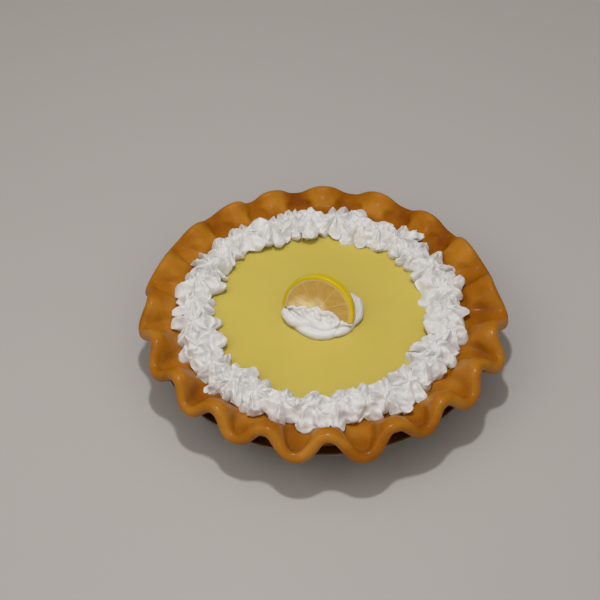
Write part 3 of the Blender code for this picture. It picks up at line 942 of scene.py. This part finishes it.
def make_pulp(finish):
    """The pulp, with its vesicles and membranes raised on both faces and marked for their colours."""
    rings = [PULP_RADIUS * ring / PULP_RINGS for ring in range(PULP_RINGS + 1)]
    outline = [(radius, -PULP_RECESS) for radius in rings]
    outline += [(radius, -SLICE_THICKNESS + PULP_RECESS) for radius in reversed(rings)]
    bm, _ = turned(outline, PULP_STEPS)
    core, membrane, vesicle = [
        bm.verts.layers.float.new(name) for name in ("core", "membrane", "vesicle")
    ]
    for vert in bm.verts:
        angle = math.atan2(vert.co.y, vert.co.x)
        radius = math.hypot(vert.co.x, vert.co.y)
        across = [radius * math.sin(min(abs(angle - math.radians(degrees)), math.pi / 2))
                  for degrees in MEMBRANE_DEGREES]
        web = max(1 - min(across) / MEMBRANE_WIDTH, 0)
        around = Vector((angle * PULP_RADIUS / VESICLE_WIDTH, radius / VESICLE_LENGTH, vert.co.z / MM))
        juice = 0.5 + noise.noise(around)
        vert[membrane] = MEMBRANE_TINT * web
        vert[vesicle] = clamped(juice * VESICLE_CONTRAST - VESICLE_LOSS)
        away = math.hypot((vert.co.x - CORE_PLACE) / CORE_WIDTH, vert.co.y / CORE_HEIGHT)
        patch = CORE_PATCHINESS * noise.noise(vert.co / CORE_PATCH)
        vert[core] = eased(clamped(CORE_PALENESS - away + patch))
        rim = min((PULP_RADIUS - radius) / PULP_RIM, 1)
        rise = rim * (VESICLE_RISE * juice * min(radius / VESICLE_START, 1) + MEMBRANE_RISE * web)
        vert.co.z += rise if vert.co.z > -SLICE_THICKNESS / 2 else -rise
    keep_half(bm)
    bm.transform(slice_place())
    pulp = add_piece("lemon_pulp", bm, finish, [])
    pulp.data.set_sharp_from_angle(angle=SLICE_SHARP_EDGE)


def make_lemon(peel, pith, pulp):
    """The slice in three pieces, of which the peel stands for the frame's node."""
    slice_ring("lemon_peel", PITH_OUTER, SLICE_RADIUS, PEEL_ROUNDING, 0, peel, ["lemon_slice"])
    slice_ring("lemon_pith", PULP_RADIUS, PITH_OUTER, PITH_ROUNDING, PITH_RECESS, pith, [])
    make_pulp(pulp)


# Floor, light and camera

def make_floor(finish):
    bm = bmesh.new()
    bmesh.ops.create_grid(bm, x_segments=1, y_segments=1, size=FLOOR_HALF_SIZE)
    floor = add_object("floor", bm)
    floor.data.materials.append(finish)


def add_lamp(name, place, size, watts, colour):
    """A round soft lamp that faces the origin."""
    lamp = bpy.data.lights.new(name, "AREA")
    lamp.shape = "DISK"
    lamp.size = size
    lamp.energy = watts
    lamp.color = colour
    holder = bpy.data.objects.new(name, lamp)
    holder.location = place
    holder.rotation_euler = (-holder.location).to_track_quat("-Z", "Y").to_euler()
    bpy.context.scene.collection.objects.link(holder)


def make_lights():
    """A small lamp overhead, a soft one in front on the left, and a room that is bright above and
    in front, dark behind and below, and dimmer in reflections."""
    world = bpy.data.worlds.new("studio")
    world.use_nodes = True
    toward = add_node(world, "TexCoord").outputs["Generated"]
    facing = add_node(world, "VectorMath", {"operation": "DOT_PRODUCT"}, i0=toward, i1=ROOM_BRIGHTEST)
    room = add_node(
        world, "MapRange", {"interpolation_type": "SMOOTHSTEP"}, Value=facing.outputs["Value"],
        From_Max=ROOM_FALL, To_Min=ROOM_DARK, To_Max=ROOM_BRIGHT,
    )
    in_gloss = add_node(world, "LightPath").outputs["Is Glossy Ray"]
    seen = add_node(world, "MapRange", Value=in_gloss, To_Min=1, To_Max=ROOM_IN_GLOSS)
    strength = add_node(
        world, "Math", {"operation": "MULTIPLY"}, i0=room.outputs["Result"], i1=seen.outputs["Result"],
    )
    background = world.node_tree.nodes["Background"]
    background.inputs["Color"].default_value = ROOM_COLOUR
    world.node_tree.links.new(strength.outputs["Value"], background.inputs["Strength"])
    bpy.context.scene.world = world
    add_lamp("key", KEY_PLACE, KEY_SIZE, KEY_WATTS, KEY_COLOUR)
    add_lamp("fill", FILL_PLACE, FILL_SIZE, FILL_WATTS, FILL_COLOUR)


def make_camera():
    lens = bpy.data.cameras.new("camera")
    lens.lens = CAMERA_LENS
    lens.sensor_width = CAMERA_SENSOR
    camera = bpy.data.objects.new("camera", lens)
    camera.location = CAMERA_PLACE
    camera.rotation_euler = (math.pi / 2 - CAMERA_DOWN, 0, 0)
    bpy.context.scene.collection.objects.link(camera)
    bpy.context.scene.camera = camera


def make_pie():
    """Every piece of the pie. The seed makes each run give the same lumps and creases."""
    noise.seed_set(LUMP_SEED)
    make_tin(pressed_tin())
    make_crust(cast_crust())
    make_filling(poured_filling())
    cream = piped_cream()
    for index in range(len(STAR_DEGREES)):
        make_star(index, cream)
    make_dollop(cream)
    make_lemon(lemon_peel(), lemon_pith(), lemon_pulp())


bpy.context.scene.view_settings.view_transform = "Standard"
make_camera()
make_lights()
make_floor(studio_floor())
make_pie()
